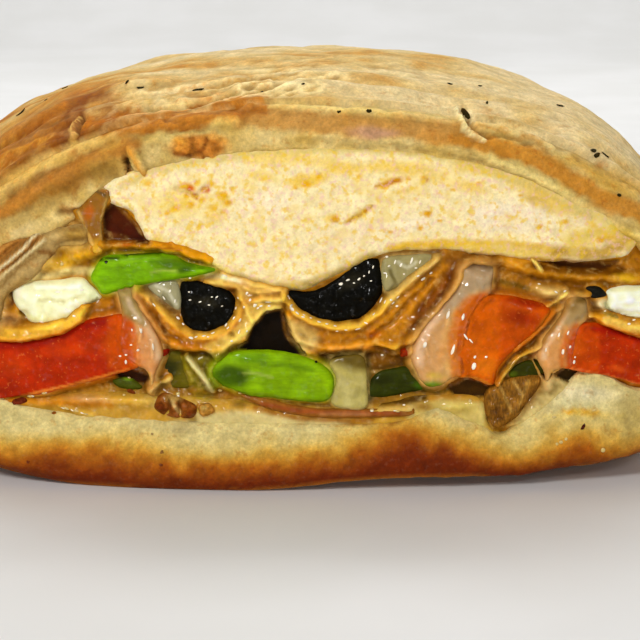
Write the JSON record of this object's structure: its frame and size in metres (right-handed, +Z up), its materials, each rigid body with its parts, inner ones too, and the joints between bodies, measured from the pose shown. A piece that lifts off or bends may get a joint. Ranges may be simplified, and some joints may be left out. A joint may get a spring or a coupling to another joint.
{
  "type": "stromboli half",
  "caption": "Half of a baked stromboli with a thick closed crust and a cut end that shows chicken, melted cheese, tomato, green pepper, olive and onion.",
  "frame": {"origin": "centre of the loaf's underside, on the surface that it lies on", "axes": "+Z up; +X across the loaf, to the right as the cut end is seen; +Y from the cut end to the closed end"},
  "size_m": [0.1478, 0.1318, 0.071],
  "materials": {
    "crust": "baked bread crust, flour-dusted, matte, cream at the cut and browned on its ridges",
    "melt": "wet, pinkish white melted cheese, glossy and slightly see-through",
    "chicken": "cooked white meat, fine-grained, moist, with yellow and orange specks",
    "ham": "thin cured slice, moist, reddish brown",
    "meat": "cooked meat, brown, fibrous, satin",
    "sausage": "cooked sausage crumbs, dark red-brown, satin",
    "mozzarella": "soft white cheese, wet and glossy",
    "olive": "black olive, wet, glossy and wrinkled",
    "onion": "cooked onion, off-white, glossy and see-through",
    "orange_cheese": "melted golden orange cheese and sauce, glossy",
    "pale_cheese": "melted pale yellow cheese, glossy",
    "pepper": "cut green pepper, fresh green, moist and glossy",
    "tomato": "cut tomato, orange-red, wet and glossy"
  },
  "bodies": {
    "root": {"bread_crust": "crust", "bread_fold_left": "crust", "cheese_string_left": "melt", "chicken_slice": "chicken", "ham_slice": "ham", "meat_chunk_right": "meat", "mozzarella_left": "mozzarella", "mozzarella_right": "mozzarella", "olive_bit_right": "olive", "olive_left": "olive", "olive_right": "olive", "onion_bit_left": "onion", "onion_bit_right": "onion", "onion_piece": "onion", "orange_cheese_melt": "orange_cheese", "pale_cheese_base": "pale_cheese", "pepper_bit_left": "pepper", "pepper_bit_right": "pepper", "pepper_strip_left": "pepper", "pepper_strip_middle": "pepper", "pepper_strip_right": "pepper", "pepper_strip_upper": "pepper", "sausage_crumb_left": "sausage", "sausage_crumb_small": "sausage", "tomato_chunk_middle": "tomato", "tomato_slice_left": "tomato", "tomato_slice_right": "tomato", "white_melt_left": "melt", "white_melt_middle": "melt", "white_melt_right": "melt"}
  },
  "joints": []
}
